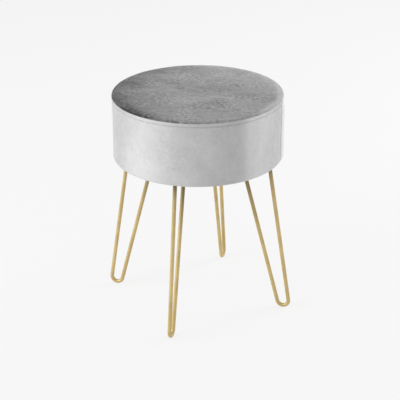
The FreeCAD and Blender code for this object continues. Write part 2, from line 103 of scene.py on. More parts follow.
class NodeGraph:
    """A material's node tree, built one node at a time."""

    def __init__(self, name: str) -> None:
        """Start a material with an empty tree.

        Args:
            name: The material's name.
        """
        self.material = bpy.data.materials.new(name)
        self.material.use_nodes = True
        self.tree = self.material.node_tree
        self.tree.nodes.clear()

    def add(self, kind: str, inputs: dict[Any, Any] | None = None, **settings: Any) -> bpy.types.Node:
        """Add a node.

        Args:
            kind: The node's type.
            inputs: Value of each input by name or index; an output socket is linked.
            settings: The node's own properties.

        Returns:
            The new node.
        """
        node = self.tree.nodes.new(kind)
        for name, value in settings.items():
            setattr(node, name, value)
        for name, value in (inputs or {}).items():
            if isinstance(value, Socket):
                self.tree.links.new(value, node.inputs[name])
            else:
                node.inputs[name].default_value = value
        return node

    def place(self, scale: Sequence[float] = (1, 1, 1), turn: float = 0.0) -> Socket:
        """Object coordinates.

        Args:
            scale: Factor along each axis; below 1 stretches a pattern.
            turn: Degrees that they are turned by, about Z.

        Returns:
            The coordinates.
        """
        coordinates = self.add("ShaderNodeTexCoord").outputs["Object"]
        inputs = {"Vector": coordinates, "Scale": scale, "Rotation": (0, 0, math.radians(turn))}
        return self.add("ShaderNodeMapping", inputs).outputs["Vector"]

    def noise(self, place: Socket, size: float, detail: float = 2.0, bend: float = 0.0) -> Socket:
        """Noise whose patches are about one size across, from 0 to 1."""
        inputs = {"Vector": place, "Scale": 1 / size, "Detail": detail, "Distortion": bend}
        return self.add("ShaderNodeTexNoise", inputs).outputs["Fac"]

    def cells(self, place: Socket, size: float) -> Socket:
        """Distance to the nearest of points strewn about one size apart."""
        return self.add("ShaderNodeTexVoronoi", {"Vector": place, "Scale": 1 / size}).outputs["Distance"]

    def math(self, operation: str, first: Any, second: Any = 0.0) -> Socket:
        """Result of an operation on two numbers or sockets."""
        return self.add("ShaderNodeMath", {0: first, 1: second}, operation=operation).outputs[0]

    def sway(self, value: Socket, reach: float) -> Socket:
        """A value from 0 to 1 as a swing of so much to either side of 0."""
        return self.math("MULTIPLY", self.math("SUBTRACT", value, 0.5), 2 * reach)

    def total(self, start: float, parts: Iterable[Socket]) -> Socket:
        """Sum of a number and several sockets.

        Args:
            start: The number.
            parts: The sockets.

        Returns:
            The sum.
        """
        result: Any = start
        for part in parts:
            result = self.math("ADD", part, result)
        return result

    def span(self, value: Socket, start: float, end: float, low: float, high: float) -> Socket:
        """A value from start to end, made to run smoothly from low to high."""
        inputs = {"Value": value, "From Min": start, "From Max": end, "To Min": low, "To Max": high}
        return self.add("ShaderNodeMapRange", inputs, interpolation_type="SMOOTHSTEP").outputs["Result"]

    def along(self, place: Socket, azimuth: float) -> Socket:
        """Distance of a place from the seat's axis towards an azimuth."""
        inputs = {0: place, 1: bearing(azimuth)}
        return self.add("ShaderNodeVectorMath", inputs, operation="DOT_PRODUCT").outputs["Value"]

    def ramp(self, value: Socket, stops: Sequence[tuple[float, Colour]]) -> Socket:
        """Colour that runs through stops.

        Args:
            value: Where along the ramp the colour is taken.
            stops: A place from 0 to 1 and a colour each, in order.

        Returns:
            The colour.
        """
        node = self.add("ShaderNodeValToRGB", {"Fac": value})
        elements = node.color_ramp.elements
        while len(elements) < len(stops):
            elements.new(1.0)
        for element, (position, colour) in zip(elements, stops):
            element.position = position
            element.color = colour
        return node.outputs["Color"]

    def blend(self, share: Socket, first: Any, second: Any) -> Socket:
        """Colour between two.

        Args:
            share: How much of the second colour there is, from 0 to 1.
            first: A colour or a socket.
            second: A colour or a socket.

        Returns:
            The mixed colour.
        """
        node = self.add("ShaderNodeMix", {0: share}, data_type="RGBA", clamp_factor=True)
        for socket, colour in zip((s for s in node.inputs if s.type == "RGBA"), (first, second)):
            if isinstance(colour, Socket):
                self.tree.links.new(colour, socket)
            else:
                socket.default_value = colour
        return next(socket for socket in node.outputs if socket.type == "RGBA")

    def bump(self, height: Socket, depth: float, strength: float) -> Socket:
        """Normal of a surface with so deep a relief."""
        inputs = {"Height": height, "Distance": depth, "Strength": strength}
        return self.add("ShaderNodeBump", inputs).outputs["Normal"]

    def surface(self, **inputs: Any) -> None:
        """Close the tree with a principled shader; an underscore in a name stands for a space."""
        named = {name.replace("_", " "): value for name, value in inputs.items()}
        self.output(self.add("ShaderNodeBsdfPrincipled", named).outputs["BSDF"])

    def output(self, shader: Socket) -> None:
        """Make a shader the material's surface."""
        self.add("ShaderNodeOutputMaterial", {"Surface": shader})


@dataclass(frozen=True)
class Finish:
    """A finish, which makes its material once."""

    name: str

    @cache
    def material(self) -> bpy.types.Material:
        """The finish's material.

        Returns:
            The material, made at its first use and kept.
        """
        graph = NodeGraph(self.name)
        self.paint(graph)
        return graph.material

    def paint(self, graph: NodeGraph) -> None:
        """Build the finish's nodes in its material's tree."""
        raise NotImplementedError


@dataclass(frozen=True)
class NapStep:
    """Painted light or shade: a smooth step in the cloth's tone, standing in for how the lamps and the sheen
    fall on it.

    Start and end are distances from the seat's axis towards the azimuth, and shift is
    how far the painted tone moves between them, on a scale from 0 for dark to 1 for light.
    """

    azimuth: float
    start: float
    end: float
    shift: float


@dataclass(frozen=True)
class NapLap:
    """Painted highlight on the cloth's end beyond an upright seam, fading further on, standing in for rim
    light there.

    The painted tone moves by shift at the seam's azimuth, and goes back between fall_start and
    fall_end, in degrees beyond the seam.
    """

    seam: float
    fall_start: float
    fall_end: float
    shift: float


@dataclass(frozen=True)
class Velvet(Finish):
    """Short-pile velvet with brushed patches, streaks and flecks, a soft sheen, and painted light and shade
    in steps and beyond its seam.
    """

    dark: Colour
    middle: Colour
    light: Colour
    sheen: float
    patch: float
    streak: float
    fleck: float
    # steps: painted light and shade, each a smooth step in tone across the piece
    steps: tuple[NapStep, ...] = ()
    # painted highlights beyond upright seams, standing in for rim light
    laps: tuple[NapLap, ...] = ()

    PATCH_SIZE = 0.05
    STREAK_SIZE = 0.012
    BRUSH_SCALE = (0.5, 1.0, 0.6)
    BRUSH_TURN = -35.0
    FLECK_SIZE = 0.0045
    FLECK_SCALE = (0.8, 1.0, 1.0)
    RUFFLE_SIZE = 0.04
    RUFFLE_EDGES = (0.35, 0.65)
    RUFFLE_RANGE = (0.35, 1.3)
    PILE_SIZE = 0.0007
    PILE_DEPTH = 0.0004
    LAP_EDGE = (-1.0, 4.0)

    def paint(self, graph: NodeGraph) -> None:
        """Tone the cloth with random patches, streaks and flecks, paint light and shade on it, and roughen it
        with the pile.

        Args:
            graph: The material's tree.
        """
        place = graph.place()
        brushed = graph.place(scale=self.BRUSH_SCALE, turn=self.BRUSH_TURN)
        combed = graph.place(scale=self.FLECK_SCALE, turn=self.BRUSH_TURN)
        flecks = graph.noise(combed, self.FLECK_SIZE, detail=3, bend=0.1)
        ruffles = graph.noise(place, self.RUFFLE_SIZE, detail=2)
        ruffled = graph.span(ruffles, *self.RUFFLE_EDGES, *self.RUFFLE_RANGE)
        parts = [
            graph.sway(graph.noise(brushed, self.PATCH_SIZE, detail=2, bend=0.7), self.patch),
            graph.sway(graph.noise(brushed, self.STREAK_SIZE, detail=3, bend=0.5), self.streak),
            graph.math("MULTIPLY", graph.sway(flecks, self.fleck), ruffled),
        ]
        # painted light and shade: the steps, and the painted highlight beyond the seam
        parts += [self.brush(graph, place, step) for step in self.steps]
        parts += [self.overlap(graph, place, seam_highlight) for seam_highlight in self.laps]
        pile = graph.noise(place, self.PILE_SIZE, detail=1)
        stops = [(0.0, self.dark), (0.5, self.middle), (1.0, self.light)]
        graph.surface(
            Base_Color=graph.ramp(graph.total(0.5, parts), stops),
            Roughness=0.9,
            Specular_IOR_Level=0.15,
            Sheen_Weight=self.sheen,
            Sheen_Roughness=0.38,
            Sheen_Tint=grey(250),
            Normal=graph.bump(graph.math("ADD", pile, flecks), self.PILE_DEPTH, 0.4),
        )

    @staticmethod
    def brush(graph: NodeGraph, place: Socket, step: NapStep) -> Socket:
        """Painted light or shade that a step adds."""
        return graph.span(graph.along(place, step.azimuth), step.start, step.end, 0.0, step.shift)

    @classmethod
    def overlap(cls, graph: NodeGraph, place: Socket, seam_highlight: NapLap) -> Socket:
        """Painted highlight that goes on the cloth's end beyond its seam.

        Args:
            graph: The material's tree.
            place: Object coordinates.
            seam_highlight: The painted highlight beyond the seam.

        Returns:
            The painted highlight to add.
        """
        across = graph.along(place, seam_highlight.seam + 90)
        beyond = graph.math("ARCTAN2", across, graph.along(place, seam_highlight.seam))
        rise = graph.span(beyond, *map(math.radians, cls.LAP_EDGE), 0.0, seam_highlight.shift)
        fall = graph.span(beyond, math.radians(seam_highlight.fall_start), math.radians(seam_highlight.fall_end), 1.0, 0.0)
        return graph.math("MULTIPLY", rise, fall)


@dataclass(frozen=True)
class SatinGold(Finish):
    """Gold-coloured metallic lacquer over drawn rod, satin, with painted shade towards the seat's underside.

    The painted shade stands in for the seat's shadow on the rods, and reaches further down the inner shanks,
    which lie deeper under the seat.
    """

    deep: Colour
    bright: Colour
    # colour of the painted shadow just under the seat
    dulled: Colour
    weld_level: float
    outer_reach: float
    inner_reach: float
    outer_radius: float
    inner_radius: float

    METAL_SHARE = 0.45
    CLOUD_SIZE = 0.03
    CLOUD_EDGES = (0.3, 0.7)
    ROUGHNESS = (0.48, 0.40)
    LINE_SIZE = 0.0006
    LINE_SCALE = (1.0, 1.0, 0.03)
    LINE_DEPTH = 0.00005

    def paint(self, graph: NodeGraph) -> None:
        """Cloud the tone and the polish, paint shade towards the seat's underside, and draw the lines.

        Args:
            graph: The material's tree.
        """
        place = graph.place()
        clouds = graph.noise(place, self.CLOUD_SIZE, detail=3)
        lines = graph.noise(graph.place(scale=self.LINE_SCALE), self.LINE_SIZE, detail=2)
        axes = graph.add("ShaderNodeSeparateXYZ", {0: place}).outputs
        level = graph.add("ShaderNodeCombineXYZ", {"X": axes["X"], "Y": axes["Y"]}).outputs[0]
        radius = graph.add("ShaderNodeVectorMath", {0: level}, operation="LENGTH").outputs["Value"]
        # painted shadow: the tone darkens towards the plates' level, further down on the inner shanks under
        # the seat
        reach = graph.span(radius, self.inner_radius, self.outer_radius, self.inner_reach, self.outer_reach)
        below = graph.math("DIVIDE", graph.math("SUBTRACT", self.weld_level, axes["Z"]), reach)
        painted_shadow_share = graph.math("POWER", 2.0, graph.math("MULTIPLY", graph.math("ABSOLUTE", below), -1.0))
        lacquer = graph.ramp(clouds, list(zip(self.CLOUD_EDGES, (self.deep, self.bright))))
        graph.surface(
            Base_Color=graph.blend(painted_shadow_share, lacquer, self.dulled),
            Metallic=self.METAL_SHARE,
            Roughness=graph.span(clouds, *self.CLOUD_EDGES, *self.ROUGHNESS),
            Normal=graph.bump(lines, self.LINE_DEPTH, 0.12),
        )


@dataclass(frozen=True)
class ZincSteel(Finish):
    """Bright zinc plating with cloudy spangles."""

    SPANGLE_SIZE = 0.0025

    def paint(self, graph: NodeGraph) -> None:
        """Spangle the tone and the polish.

        Args:
            graph: The material's tree.
        """
        spangles = graph.cells(graph.place(), self.SPANGLE_SIZE)
        graph.surface(
            Base_Color=graph.ramp(spangles, [(0.0, grey(168)), (1.0, shade(206, 208, 212))]),
            Metallic=1.0,
            Roughness=graph.span(spangles, 0.0, 1.0, 0.42, 0.28),
        )


@dataclass(frozen=True)
class NonWoven(Finish):
    """Black spunbond cloth with a grid of pressed points."""

    pitch: float = 0.0016

    POINT_SCALE = (1.0, 1.4, 1.0)
    POINT_TURN = 45.0
    POINT_DEPTH = 0.0002
    FIBRE_SIZE = 0.006

    def paint(self, graph: NodeGraph) -> None:
        """Press the points and mottle the fibres between them.

        Args:
            graph: The material's tree.
        """
        points = graph.cells(graph.place(scale=self.POINT_SCALE, turn=self.POINT_TURN), self.pitch)
        fibres = graph.noise(graph.place(), self.FIBRE_SIZE, detail=4, bend=0.5)
        graph.surface(
            Base_Color=graph.ramp(fibres, [(0.3, grey(30)), (0.7, grey(52))]),
            Roughness=graph.span(points, 0.0, 0.6, 0.6, 0.95),
            Specular_IOR_Level=0.3,
            Normal=graph.bump(points, self.POINT_DEPTH, 0.5),
        )


@dataclass(frozen=True)
class SewingThread(Finish):
    """Spun thread, twisted, in the grey of the cloth."""

    tone: Colour
    # dip: painted shade in the twist's hollows
    dip: Colour

    TWIST_SIZE = 0.0005
    TWIST_SCALE = (1.0, 1.0, 2.5)
    TWIST_DEPTH = 0.0001

    def paint(self, graph: NodeGraph) -> None:
        """Paint shade into the hollows of the twist, where the bump sinks.

        Args:
            graph: The material's tree.
        """
        twist = graph.noise(graph.place(scale=self.TWIST_SCALE), self.TWIST_SIZE, detail=1)
        graph.surface(
            Base_Color=graph.ramp(twist, [(0.35, self.dip), (0.65, self.tone)]),
            Roughness=0.75,
            Sheen_Weight=0.2,
            Normal=graph.bump(twist, self.TWIST_DEPTH, 0.5),
        )


@dataclass(frozen=True)
class Plywood(Finish):
    """Birch plywood: grain on its faces, plies along its edge."""

    ply: float = 0.0015

    PLY_SHARE = 0.3
    GRAIN_SIZE = 0.004
    GRAIN_SCALE = (0.06, 1.0, 1.0)
    GRAIN_DEPTH = 0.0002

    def paint(self, graph: NodeGraph) -> None:
        """Lay the plies one over another and run the grain along X.

        Args:
            graph: The material's tree.
        """
        grain = graph.noise(graph.place(scale=self.GRAIN_SCALE), self.GRAIN_SIZE, detail=5, bend=0.3)
        height = graph.add("ShaderNodeSeparateXYZ", {0: graph.place()}).outputs["Z"]
        plies = graph.math("PINGPONG", height, self.ply)
        layers = graph.math("MULTIPLY", plies, self.PLY_SHARE / self.ply)
        lie = graph.math("ADD", layers, graph.math("MULTIPLY", grain, 1 - self.PLY_SHARE))
        graph.surface(
            Base_Color=graph.ramp(lie, [(0.25, shade(156, 122, 84)), (0.75, shade(214, 186, 146))]),
            Roughness=0.7,
            Normal=graph.bump(grain, self.GRAIN_DEPTH, 0.3),
        )


@dataclass(frozen=True)
class Foam(Finish):
    """Open-celled upholstery foam."""

    cell: float
    shadow: Colour
    body: Colour

    CELL_DEPTH = 0.0005

    def paint(self, graph: NodeGraph) -> None:
        """Open the cells.

        Args:
            graph: The material's tree.
        """
        pores = graph.cells(graph.place(), self.cell)
        graph.surface(
            Base_Color=graph.ramp(pores, [(0.0, self.shadow), (0.6, self.body)]),
            Roughness=0.95,
            Normal=graph.bump(pores, self.CELL_DEPTH, 0.6),
        )


@dataclass(frozen=True)
class FloorWhite(Finish):
    """Pale studio floor: its own brightness to the camera, its shadows faint, clear from below."""

    level: float
    shadow_share: float

    def paint(self, graph: NodeGraph) -> None:
        """Mix a lit surface with a steady one, and open the underside.

        Args:
            graph: The material's tree.
        """
        rays = graph.add("ShaderNodeLightPath").outputs
        seen = graph.math("MAXIMUM", rays["Is Camera Ray"], rays["Is Glossy Ray"])
        seen = graph.math("MAXIMUM", seen, rays["Is Transmission Ray"])
        tone = (self.level, self.level, self.level, 1.0)
        lit = graph.add("ShaderNodeBsdfDiffuse", {"Color": tone}).outputs["BSDF"]
        steady = graph.add("ShaderNodeEmission", {"Color": tone, "Strength": 1.0}).outputs["Emission"]
        share = graph.math("MULTIPLY", seen, 1 - self.shadow_share)
        top = graph.add("ShaderNodeMixShader", {0: share, 1: lit, 2: steady}).outputs[0]
        below = graph.add("ShaderNodeNewGeometry").outputs["Backfacing"]
        clear = graph.add("ShaderNodeBsdfTransparent").outputs["BSDF"]
        graph.output(graph.add("ShaderNodeMixShader", {0: below, 1: top, 2: clear}).outputs[0])


def make_object(name: str, work: bmesh.types.BMesh, finish: Finish) -> bpy.types.Object:
    """Turn a finished bmesh into an object of the scene, and free the bmesh.

    Args:
        name: The object's name.
        work: Its shape, in the stool's frame.
        finish: What it is finished with.

    Returns:
        The new object, at the origin.
    """
    bmesh.ops.remove_doubles(work, verts=work.verts, dist=MERGE)
    bmesh.ops.recalc_face_normals(work, faces=work.faces)
    mesh = bpy.data.meshes.new(name)
    work.to_mesh(mesh)
    work.free()
    mesh.shade_smooth()
    mesh.materials.append(finish.material())
    made = bpy.data.objects.new(name, mesh)
    bpy.context.scene.collection.objects.link(made)
    return made


def make_piece(
    name: str, work: bmesh.types.BMesh, finish: Finish, stands_for: Sequence[str] = ()
) -> bpy.types.Object:
    """Make a piece of the stool.

    Args:
        name: The piece's name.
        work: Its shape, in the stool's frame.
        finish: What it is finished with.
        stands_for: The nodes of the frame that it replaces.

    Returns:
        The new piece, riding on the stool.
    """
    piece = make_object(name, work, finish)
    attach(piece, BODY)
    if stands_for:
        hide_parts(*stands_for)
    LOG.info("%s: %d faces", name, len(piece.data.polygons))
    return piece


def thicken(piece: bpy.types.Object, thickness: float) -> None:
    """Give a sheet its thickness, inwards from the side that shows.

    Args:
        piece: The sheet.
        thickness: How thick it is.
    """
    solid = piece.modifiers.new("thickness", "SOLIDIFY")
    solid.thickness = thickness
    solid.offset = -1.0
    solid.use_even_offset = True


def subdivide(piece: bpy.types.Object) -> None:
    """Round a piece with one level of subdivision.

    Args:
        piece: The piece.
    """
    rounding = piece.modifiers.new("rounding", "SUBSURF")
    rounding.levels = 1
    rounding.render_levels = 1


def lay_disc(work: bmesh.types.BMesh, radius: float, segments: int) -> list[bmesh.types.BMEdge]:
    """Lay a disc of even quads on the floor plane.

    Args:
        work: The bmesh to lay it in.
        radius: The disc's radius.
        segments: Edges along its rim, a multiple of four.

    Returns:
        The edges of its rim.
    """
    bmesh.ops.create_circle(work, segments=segments, radius=radius)
    rim = work.edges[:]
    quarter = segments // 4
    bmesh.ops.grid_fill(work, edges=rim[:quarter] + rim[2 * quarter : 3 * quarter])
    inside = [vert for vert in work.verts if not vert.is_boundary]
    for _ in range(quarter):
        bmesh.ops.smooth_vert(work, verts=inside, factor=0.5, use_axis_x=True, use_axis_y=True)
    return rim


def grow_rim(
    work: bmesh.types.BMesh, rim: list[bmesh.types.BMEdge], radius: float, rise: float = 0.0
) -> list[bmesh.types.BMEdge]:
    """Add a ring of faces round a disc.

    Args:
        work: The disc's bmesh.
        rim: The edges of its rim.
        radius: Radius of the new rim.
        rise: How far the new rim lies above the old one.

    Returns:
        The edges of the new rim.
    """
    before = rim[0].verts[0].co.xy.length
    grown = bmesh.ops.extrude_edge_only(work, edges=rim)["geom"]
    verts = [item for item in grown if isinstance(item, bmesh.types.BMVert)]
    bmesh.ops.scale(work, vec=(radius / before, radius / before, 1), verts=verts)
    bmesh.ops.translate(work, vec=(0, 0, rise), verts=verts)
    fresh = set(verts)
    return [
        item for item in grown if isinstance(item, bmesh.types.BMEdge) and fresh.issuperset(item.verts)
    ]


@dataclass(frozen=True)
class Stuffing:
    """Foam that presses a sewn cover outwards, as a cloth simulation."""

    cap: float
    slack: float
    pressure: float = 4.0
    frames: int = 20
    stiffness: float = 15.0
    bending: float = 0.5

    def swell(self, piece: bpy.types.Object, sewn: Callable[[Vector], bool]) -> None:
        """Let a cover swell between its seams.

        Args:
            piece: The cover, a single sheet.
            sewn: Whether a place on it is held by a seam.
        """
        places = [vert.co.copy() for vert in piece.data.vertices]
        seams = piece.vertex_groups.new(name="seams")
        seams.add([index for index, place in enumerate(places) if sewn(place)], 1.0, "REPLACE")
        cloth = piece.modifiers.new("stuffing", "CLOTH")
        settings = cloth.settings
        settings.vertex_group_mass = seams.name
        settings.effector_weights.gravity = 0.0
        settings.use_pressure = True
        settings.uniform_pressure_force = self.pressure
        settings.tension_stiffness = self.stiffness
        settings.compression_stiffness = self.stiffness
        settings.bending_stiffness = self.bending
        settings.shrink_min = -self.slack
        settings.shrink_max = -self.slack
        cloth.point_cache.frame_start = 1
        cloth.point_cache.frame_end = self.frames
        scene = bpy.context.scene
        for step in range(1, self.frames + 1):
            scene.frame_set(step)
        pressed = piece.evaluated_get(bpy.context.evaluated_depsgraph_get()).to_mesh()
        moves = [vert.co - place for vert, place in zip(pressed.vertices, places)]
        piece.modifiers.remove(cloth)
        piece.vertex_groups.remove(seams)
        scene.frame_set(1)
        for vert, place, move in zip(piece.data.vertices, places, moves):
            vert.co = place + self.capped(move)

    def capped(self, move: Vector) -> Vector:
        """A move that levels off at the cap."""
        length = move.length
        return move * (self.cap * math.tanh(length / self.cap) / length) if length else move


@dataclass
class TopPanel:
    """Velvet top panel: crowned over the wadding, turned down at its rim into the seam."""

    finish: Finish
    radius: float
    seam_level: float
    crown_level: float
    thickness: float = 0.0012
    edge_radius: float = 0.0025
    edge_lift: float = 0.0004
    edge_turns: tuple[float, ...] = (22, 44, 66, 88, 104, 120)
    crown_power: float = 2.5
    slump: float = 0.0007
    pucker_depth: float = 0.00035
    pucker_reach: float = 0.028
    pucker_pace: float = 11.0
    crinkle_share: float = 0.6
    crinkle_pace: float = 27.0
    stuffing: Stuffing = Stuffing(cap=0.001, slack=0.002)
    grid_share: float = 0.58
    segments: int = 192
    rings: int = 15

    @property
    def reach(self) -> float:
        """Radius at which the panel begins to turn down."""
        return self.radius - self.edge_radius

    def build(self) -> bpy.types.Object:
        """Make the panel, sewn down and swollen.

        Returns:
            The panel.
        """
        work = bmesh.new()
        inner = self.reach * self.grid_share
        rim = lay_disc(work, inner, self.segments)
        for ring in range(1, self.rings + 1):
            rim = grow_rim(work, rim, inner + (self.reach - inner) * ring / self.rings)
        for vert in work.verts:
            vert.co.z = self.level(vert.co.xy.length)
        self.turn_down(work, rim)
        panel = make_piece("velvet_top", work, self.finish, ["seat_top_panel"])
        self.stuffing.swell(panel, lambda place: place.xy.length > self.reach - MERGE)
        self.pucker(panel)
        thicken(panel, self.thickness)
        subdivide(panel)
        return panel

    def level(self, radius: float) -> float:
        """Level of the crown, before it swells.

        Args:
            radius: Distance from the seat's axis.

        Returns:
            The height above the floor.
        """
        share = radius / self.reach
        rim_level = self.seam_level + self.edge_lift + self.edge_radius
        start = self.crown_level - self.slump
        return start - (start - rim_level) * share**self.crown_power

    def turn_down(self, work: bmesh.types.BMesh, rim: list[bmesh.types.BMEdge]) -> None:
        """Roll the rim down and in, to the seam.

        Args:
            work: The panel's bmesh.
            rim: The edges of its rim.
        """
        height = self.edge_radius
        for angle in self.edge_turns:
            turn = math.radians(angle)
            rise = self.edge_radius * math.cos(turn) - height
            rim = grow_rim(work, rim, self.reach + self.edge_radius * math.sin(turn), rise)
            height += rise

    def pucker(self, panel: bpy.types.Object) -> None:
        """Draw small uneven puckers in towards the seam.

        Args:
            panel: The panel.
        """
        for vert in panel.data.vertices:
            radius = vert.co.xy.length
            nearness = fade(radius, self.radius - self.pucker_reach, self.reach)
            nearness *= 1 - fade(radius, self.reach, self.radius)
            round_seam = Vector((vert.co.x, vert.co.y, 0)).normalized()
            ripple = noise.noise(round_seam * self.pucker_pace)
            ripple += self.crinkle_share * noise.noise(round_seam * self.crinkle_pace)
            vert.co.z += self.pucker_depth * nearness * ripple


@dataclass
class SideBand:
    """Velvet side band: rolled under the top seam, topstitched, turned under at the base."""

    finish: Finish
    cover_radius: float
    roll_radius: float
    seam_level: float
    hem_level: float
    thickness: float = 0.0012
    hem_radius: float = 0.1102
    lower_edge: float = 0.0040
    draw_in: float = 0.0006
    stitch_drop: float = 0.0065
    groove_depth: float = 0.0009
    groove_reach: float = 0.0016
    dimple_share: float = 0.2
    ripple_depth: float = 0.00018
    ripple_reach: float = 0.012
    ripple_pace: float = 19.0
    lip_radius: float = 0.0011
    roll_edge: float = 0.0009
    seam_tuck: float = 0.0007
    stitches: int = 236
    columns_a_stitch: int = 2
    seam_azimuth: float = SEAM_AZIMUTH
    seam_depth: float = 0.0010
    seam_width: float = 0.0009
    seam_lip: float = 0.0004
    lip_place: float = 2.6
    seam_room: float = 5.0
    seam_cuts: int = 4
    lap_rise: float = 0.0024
    lap_reach: float = 0.016
    lap_crest: float = 0.02
    lap_end: float = 0.09
    lap_top: float = 0.015
    side_cuts: int = 24
    hem_cuts: int = 4
    gather_count: int = 46
    gather_depth: float = 0.0005
    gather_sway: float = 1.5
    gather_pace: float = 6.0
    stuffing: Stuffing = Stuffing(cap=0.0005, slack=0.001)

    @property
    def stitch_level(self) -> float:
        """Level of the topstitch."""
        return self.seam_level - self.stitch_drop

    @property
    def side_levels(self) -> tuple[float, float]:
        """Levels between which the band stands upright."""
        return self.hem_level + self.lower_edge, self.stitch_level - 2 * self.groove_reach

    @property
    def stitch_radius(self) -> float:
        """Radius of the bottom of the topstitch groove."""
        return self.cover_radius - self.groove_depth

    def build(self) -> bpy.types.Object:
        """Make the band, with its seam, groove and gathers, and swell its side.

        Returns:
            The band.
        """
        work = bmesh.new()
        self.draw_outline(work)
        columns = self.stitches * self.columns_a_stitch
        outline = work.verts[:] + work.edges[:]
        bmesh.ops.spin(work, geom=outline, axis=(0, 0, 1), angle=math.tau, steps=columns, use_merge=True)
        bmesh.ops.remove_doubles(work, verts=work.verts, dist=MERGE)
        self.refine_seam(work, math.tau * self.cover_radius / columns)
        for vert in work.verts:
            vert.co = self.shaped(vert.co)
        band = make_piece("velvet_band", work, self.finish, ["seat_side_band"])
        self.stuffing.swell(band, self.sewn)
        thicken(band, self.thickness)
        return band

    def draw_outline(self, work: bmesh.types.BMesh) -> None:
        """Draw the band's section from hem to seam, with its corners rounded.

        Args:
            work: The bmesh to draw it in.
        """
        corners = [
            ((self.hem_radius, self.hem_level), 0.0, 0),
            ((self.cover_radius, self.hem_level), self.lower_edge, 6),
            ((self.cover_radius, self.stitch_level - self.groove_reach), self.lip_radius, 3),
            ((self.stitch_radius, self.stitch_level), 0.0, 0),
            ((self.roll_radius, self.stitch_level + self.groove_reach), self.lip_radius, 3),
            ((self.roll_radius, self.seam_level), self.roll_edge, 4),
            ((self.cover_radius - self.seam_tuck, self.seam_level), 0.0, 0),
        ]
        places = [Vector((radius, 0, level)) for (radius, level), _, _ in corners]
        verts = [work.verts.new(place) for place in places]
        for pair in zip(verts, verts[1:]):
            work.edges.new(pair)
        for place, (_, radius, segments) in zip(places, corners):
            if radius:
                corner = min(work.verts, key=lambda vert: (vert.co - place).length)
                bmesh.ops.bevel(
                    work, geom=[corner], offset=radius, offset_type="OFFSET", affect="VERTICES",
                    segments=segments, profile=0.5, material=-1,
                )
        side, hem = sorted(work.edges, key=lambda edge: -edge.calc_length())[:2]
        bmesh.ops.subdivide_edges(work, edges=[side], cuts=self.side_cuts)
        bmesh.ops.subdivide_edges(work, edges=[hem], cuts=self.hem_cuts)

    def across_seam(self, place: Vector) -> float:
        """Distance from the upright seam, round the band.

        Args:
            place: A place on the band.

        Returns:
            The distance, above 0 beyond the seam.
        """
        way = bearing(self.seam_azimuth)
        angle = math.atan2(way.cross(place).z, way.dot(place))
        return angle * self.cover_radius

    def refine_seam(self, work: bmesh.types.BMesh, column: float) -> None:
        """Split the columns beside the upright seam, so that it has room for its lips.

        Args:
            work: The band's bmesh.
            column: Width of a column.
        """
        window = self.seam_room * self.seam_width + column
        beside = [
            edge for edge in work.edges
            if all(abs(self.across_seam(vert.co)) < window for vert in edge.verts)
            and abs(self.across_seam(edge.verts[0].co) - self.across_seam(edge.verts[1].co)) > column / 2
        ]
        bmesh.ops.subdivide_edges(work, edges=beside, cuts=self.seam_cuts, use_grid_fill=True)

    def shaped(self, place: Vector) -> Vector:
        """A place on the plain band, moved to where sewing draws it.

        Args:
            place: The place before it is sewn.

        Returns:
            The place after.
        """
        out = Vector((place.x, place.y, 0)).normalized()
        move = out * (self.side_move(place) + self.seam_move(place))
        return place + move + Vector((0, 0, self.gather_move(place)))

    def side_move(self, place: Vector) -> float:
        """Outward move of the side: drawn in over the foam, dimpled at every stitch.

        Args:
            place: A place on the plain band.

        Returns:
            How far it moves.
        """
        low, high = self.side_levels
        share = min(1.0, max(0.0, (place.z - low) / (high - low)))
        drawn = -self.draw_in * math.sin(math.pi * share)
        off = (place.z - self.stitch_level) / self.groove_reach
        turn = math.atan2(place.y, place.x)
        dimple = self.dimple_share * self.groove_depth * math.exp(-off * off) * math.cos(self.stitches * turn)
        nearness = math.exp(-abs(place.z - self.stitch_level) / self.ripple_reach)
        round_band = Vector((place.x, place.y, 0)).normalized()
        ripple = self.ripple_depth * nearness * noise.noise(round_band * self.ripple_pace)
        return drawn - dimple + ripple

    def seam_move(self, place: Vector) -> float:
        """Outward move beside the upright seam: a valley between two lips, and a lapped end beyond it.

        Args:
            place: A place on the plain band.

        Returns:
            How far it moves.
        """
        across = self.across_seam(place)
        widths = abs(across) / self.seam_width
        valley = -self.seam_depth * math.exp(-widths * widths)
        lips = self.seam_lip * math.exp(-((widths - self.lip_place) ** 2) / 2)
        lapped = self.lap_rise * fade(across, 0.0, self.lap_reach)
        lapped *= 1 - fade(across, self.lap_crest, self.lap_end)
        lapped *= 1 - fade(place.z, self.stitch_level - self.lap_top, self.stitch_level)
        upright = fade(place.xy.length, self.hem_radius, self.cover_radius - self.lower_edge)
        return (valley + lips + lapped) * upright

    def gather_move(self, place: Vector) -> float:
        """Upward move of the hem, below 0 where it gathers under the base.

        Args:
            place: A place on the plain band.

        Returns:
            How far it moves.
        """
        tightness = 1 - fade(place.xy.length, self.hem_radius, self.cover_radius)
        if place.z > self.hem_level + self.lower_edge:
            return 0.0
        turn = math.atan2(place.y, place.x)
        round_hem = Vector((place.x, place.y, 0)).normalized()
        uneven = self.gather_sway * noise.noise(round_hem * self.gather_pace)
        return -self.gather_depth * tightness * max(0.0, math.sin(self.gather_count * turn + uneven))

    def sewn(self, place: Vector) -> bool:
        """Whether a place on the band is held: all but its side."""
        low, high = self.side_levels
        return not low < place.z < high


